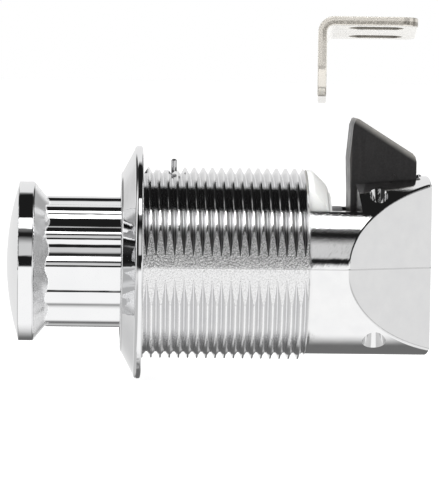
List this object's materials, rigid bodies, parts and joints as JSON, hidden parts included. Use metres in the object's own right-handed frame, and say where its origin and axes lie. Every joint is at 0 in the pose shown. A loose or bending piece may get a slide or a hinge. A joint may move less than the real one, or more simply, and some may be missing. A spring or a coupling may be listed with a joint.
{
  "type": "twist latch",
  "caption": "Push-and-turn latch with a fluted knob, round flange, threaded barrel, spring-loaded slanted bolt and a separate angled keeper.",
  "frame": {"origin": "centre of the flange's back face, on the barrel's axis", "axes": "+X along the barrel, away from the knob; +Z is the side that the bolt stands out of; Y runs across"},
  "size_m": [0.0634, 0.035, 0.0547],
  "materials": {
    "chrome": "polished",
    "chrome_cast": "polished over a die casting",
    "bolt_plastic": "fine grain",
    "white_nylon": "semi matt",
    "nickel": "bright nickel",
    "steel": "satin",
    "dark_steel": "darkened",
    "spring_steel": "drawn wire",
    "cast_alloy": "bare casting"
  },
  "bodies": {
    "root": {"barrel_housing": "chrome_cast", "bezel_ring": "chrome", "retainer_block": "white_nylon", "stop_pin": "steel", "bolt_retaining_pin": "steel", "thrust_washer": "steel", "spring_guide": "white_nylon", "bolt_spring": "spring_steel"},
    "rotor": {"drive_sleeve": "cast_alloy", "heart_cam_post": "white_nylon", "spring_washer": "steel", "drive_cam": "dark_steel", "cam_clip": "spring_steel", "pop_spring": "spring_steel"},
    "knob": {"knob_shell": "chrome", "wire_holder": "white_nylon", "follower_wire": "spring_steel"},
    "bolt": {"latch_bolt": "bolt_plastic", "lift_bar": "dark_steel"},
    "keeper": {"keeper": "nickel"}
  },
  "joints": [
    {"name": "knob_turn", "type": "hinge", "parent": "root", "child": "rotor", "pos_m": [0, 0, 0], "axis": [1, 0, 0], "range_deg": [0, 60], "stiffness_Nm_per_rad": 0.0225, "springref_deg": -59.3},
    {"name": "knob_push", "type": "slide", "parent": "rotor", "child": "knob", "axis": [1, 0, 0], "range_m": [0, 0.015], "stiffness_N_per_m": 250, "springref_m": -0.01, "deforming": ["pop_spring"]},
    {"name": "bolt_slide", "type": "slide", "parent": "root", "child": "bolt", "axis": [0, 0, -1], "range_m": [0, 0.00821], "deforming": ["bolt_spring"]},
    {"name": "keeper_set", "type": "slide", "parent": "root", "child": "keeper", "axis": [0, 0, -1], "range_m": [0, 0.0095]}
  ],
  "couplings": [
    {"joint": "bolt_slide", "follows": "knob_turn", "m_per_rad": 0.0078304}
  ]
}
